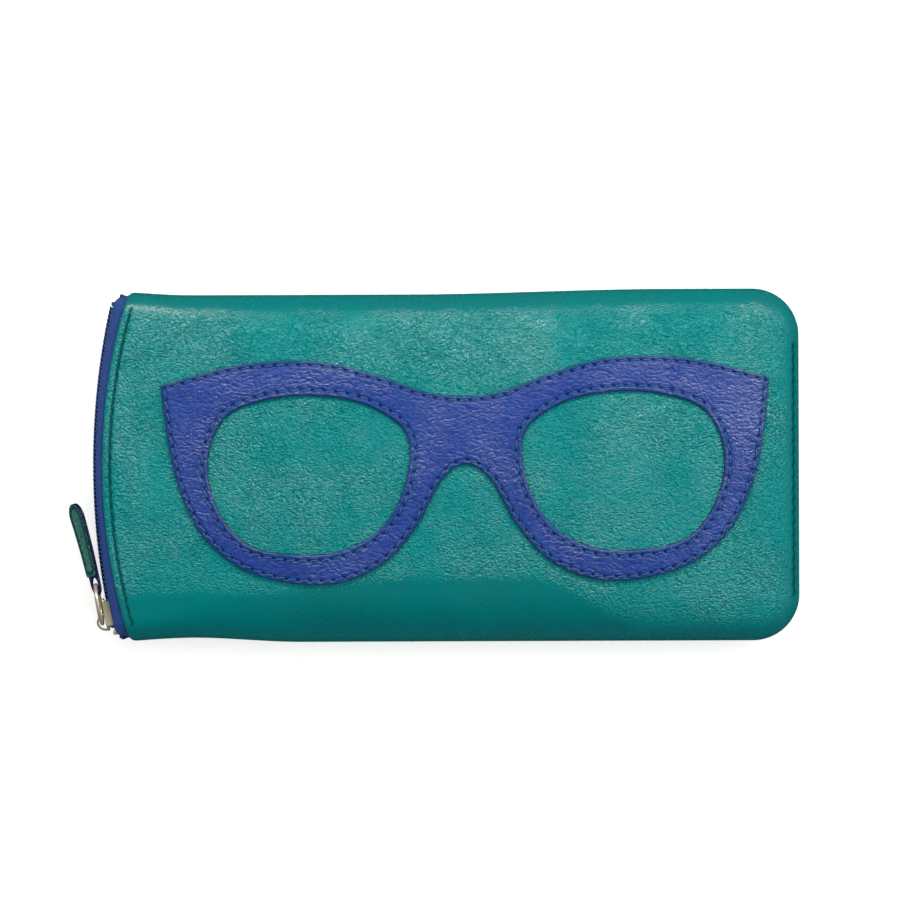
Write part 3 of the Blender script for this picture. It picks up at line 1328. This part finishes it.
def knit(name, colour, deep):
    """Knitted zip tape: columns of small V stitches along the zip, read from the tape's own grid."""
    g = Graph(name)
    along, across = g.value("along"), g.value("across")
    column = g.times(across, math.tau / 0.62)
    lean = g.times(g.math("ABSOLUTE", g.math("SINE", g.times(column, 0.5))), 1.7)
    course = g.math("SINE", g.add(g.times(along, math.tau / 0.5), lean))
    wale = g.math("COSINE", column)
    height = g.add(g.times(course, 0.5), g.times(wale, 0.5))
    shade = g.step(height, -0.8, 0.6)
    fuzz = g.noise(g.mm, 6.0, 2.0)
    shade = g.add(g.times(shade, 0.8), g.times(fuzz, 0.25))
    return g.finish(Base_Color=g.mix(shade, deep, colour), Roughness=0.85, Specular_IOR_Level=0.2,
                    Normal=g.bump(height, 0.07 * MM, 0.8))


def weave(name, colour, deep, pitch=0.45):
    g = Graph(name)
    split = g.node("ShaderNodeSeparateXYZ", {0: g.mm})
    warp = g.math("SINE", g.times(split.outputs[0], math.tau / pitch))
    weft = g.math("SINE", g.times(split.outputs[1], math.tau / pitch))
    height = g.times(warp, weft)
    fuzz = g.noise(g.mm, 5.0, 2.0)
    shade = g.add(g.times(g.step(height, -1.0, 1.0), 0.7), g.times(fuzz, 0.3))
    return g.finish(Base_Color=g.mix(shade, deep, colour), Roughness=0.85, Sheen_Weight=0.3,
                    Normal=g.bump(height, 0.06 * MM, 0.7))


def foam_material(name, colour, deep):
    g = Graph(name)
    pores = g.step(g.cell_distance(g.mm, 1.6), 0.1, 0.6)
    return g.finish(Base_Color=g.mix(pores, deep, colour), Roughness=0.95,
                    Normal=g.bump(pores, 0.12 * MM, 0.7))


def nylon(name, colour, deep):
    g = Graph(name)
    streaks = g.noise(g.mm, 2.2, 2.0)
    rough = g.add(0.28, g.times(streaks, 0.2))
    return g.finish(Base_Color=g.mix(streaks, deep, colour), Roughness=rough,
                    Normal=g.bump(streaks, 0.02 * MM, 0.4))


TEAL = srgb(0, 136, 139)
TEAL_DEEP = srgb(0, 110, 113)
TEAL_LIGHT = srgb(4, 148, 150)
BLUE = srgb(38, 67, 149)
BLUE_DEEP = srgb(23, 46, 117)
BLUE_LIGHT = srgb(52, 82, 162)
NAVY_EDGE = srgb(14, 30, 62)
TEAL_EDGE = srgb(4, 52, 58)
THREAD = srgb(70, 138, 192)
THREAD_DEEP = srgb(20, 60, 128)
TEAL_THREAD = srgb(6, 104, 108)
TEAL_THREAD_DEEP = srgb(0, 52, 58)
TAB_GREEN = srgb(62, 128, 118)
TAB_GREEN_DEEP = srgb(38, 92, 86)
TAB_GREEN_LIGHT = srgb(104, 160, 148)
TAPE = srgb(58, 92, 158)
TAPE_DEEP = srgb(24, 42, 104)
COIL = srgb(56, 86, 158)
COIL_DEEP = srgb(34, 54, 116)
TAB_BACK = srgb(26, 38, 88)
LINING = srgb(36, 48, 92)
LINING_DEEP = srgb(14, 20, 44)
FOAM = srgb(226, 224, 216)
FOAM_DEEP = srgb(176, 172, 160)
GOLD = (0.95, 0.86, 0.64)


def make_materials():
    return {
        "leather": leather("teal_leather", TEAL, TEAL_DEEP, TEAL_LIGHT, TEAL_EDGE),
        "applique": leather("blue_leather", BLUE, BLUE_DEEP, BLUE_LIGHT, NAVY_EDGE, cell=0.7, grain=0.5,
                            run=0.55, roughness=0.32, faded=0.3, shine=0.9),
        "tab_front": leather("dark_tab_leather", TAB_GREEN, TAB_GREEN_DEEP, TAB_GREEN_LIGHT, NAVY_EDGE,
                             cell=1.5, grain=0.4, run=3.0, faded=0.5),
        "tab_back": leather("tab_back_leather", TAB_BACK, BLUE_DEEP, BLUE, NAVY_EDGE, cell=0.8, grain=0.5,
                            faded=0.4),
        "thread": thread_material("blue_thread", THREAD, THREAD_DEEP),
        "leather_thread": thread_material("teal_thread", TEAL_THREAD, TEAL_THREAD_DEEP),
        "tape": knit("zip_tape_knit", TAPE, TAPE_DEEP),
        "coil": nylon("zip_coil_nylon", COIL, COIL_DEEP),
        "gold": metal("pale_gold_metal", GOLD, 0.3),
        "lining": weave("lining_weave", LINING, LINING_DEEP),
        "foam": foam_material("foam_cells", FOAM, FOAM_DEEP),
    }


# ---------------------------------------------------------------- stage

CAMERA_CENTRE = Vector((-0.13 * MM, 3.95 * MM, 0.0))
CAMERA_ROLL = math.radians(-0.21)
CAMERA_DISTANCE = 2.5
PICTURE_WIDTH = 229.5 * MM
FOCUS_Z = 12.0 * MM
WARM = (1.0, 0.97, 0.88)


def make_floor():
    bm = bmesh.new()
    bmesh.ops.create_grid(bm, x_segments=1, y_segments=1, size=4.0)
    g = Graph("pale_floor")
    camera_ray = g.node("ShaderNodeLightPath").outputs["Is Camera Ray"]
    g.finish(Base_Color=(0.8, 0.8, 0.8), Roughness=0.9, Specular_IOR_Level=0.0,
             Emission_Color=(1.0, 1.0, 1.0), Emission_Strength=g.times(camera_ray, 0.55))
    floor = from_bmesh("floor", bm, g.mat)
    floor.location.z = -0.05 * MM
    floor.visible_glossy = False


def soft_light(name, size, direction, distance, power, colour=(1.0, 1.0, 1.0), glossy=True):
    data = bpy.data.lights.new(name, "AREA")
    data.shape = "RECTANGLE"
    data.size, data.size_y = size
    data.energy = power
    data.color = colour
    light = bpy.data.objects.new(name, data)
    bpy.context.scene.collection.objects.link(light)
    direction = Vector(direction).normalized()
    light.location = direction * distance
    light.rotation_euler = direction.to_track_quat("Z", "Y").to_euler()
    light.visible_glossy = glossy


def make_lights():
    soft_light("key", (0.9, 0.14), (0.04, 1.02, 1.0), 0.48, 2.7, WARM)
    soft_light("side", (0.3, 0.8), (1.15, 0.35, 1.0), 1.0, 1.6, WARM)
    for word, toward in (("left", -1.0), ("right", 1.0)):
        soft_light(word + "_fill", (1.2, 1.6), (1.2 * toward, -0.3, 1.0), 1.4, 9.8, glossy=False)
    world = bpy.data.worlds.new("studio")
    world.use_nodes = True
    world.node_tree.nodes["Background"].inputs["Color"].default_value = (1.0, 1.0, 1.0, 1.0)
    world.node_tree.nodes["Background"].inputs["Strength"].default_value = 0.03
    world.cycles_visibility.glossy = False
    bpy.context.scene.world = world


def make_camera():
    data = bpy.data.cameras.new("camera")
    data.sensor_width = 36.0
    data.lens = 36.0 * CAMERA_DISTANCE / PICTURE_WIDTH
    data.clip_end = 20.0
    camera = bpy.data.objects.new("camera", data)
    camera.location = CAMERA_CENTRE + Vector((0.0, 0.0, CAMERA_DISTANCE + FOCUS_Z))
    camera.rotation_euler.z = CAMERA_ROLL
    bpy.context.scene.collection.objects.link(camera)
    bpy.context.scene.camera = camera


# ---------------------------------------------------------------- build

def main():
    mats = make_materials()
    pieces = []
    for word, side in (("front", 1), ("back", -1)):
        panel = panel_object(word, side, mats["leather"])
        pieces.append((panel, "case", [word + "_panel"], "teal_leather"))
    pieces += make_inside(mats)
    pieces += make_applique(mats)
    pieces += make_edge_stitches(mats)
    pieces += make_zip(mats)
    pieces += make_slider_and_stops(mats)
    pieces += make_pull(mats)
    for obj, body, nodes, slot in pieces:
        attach(obj, body)
        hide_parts(*nodes)
    make_floor()
    make_lights()
    make_camera()
    bpy.context.scene.view_settings.view_transform = "Standard"


main()
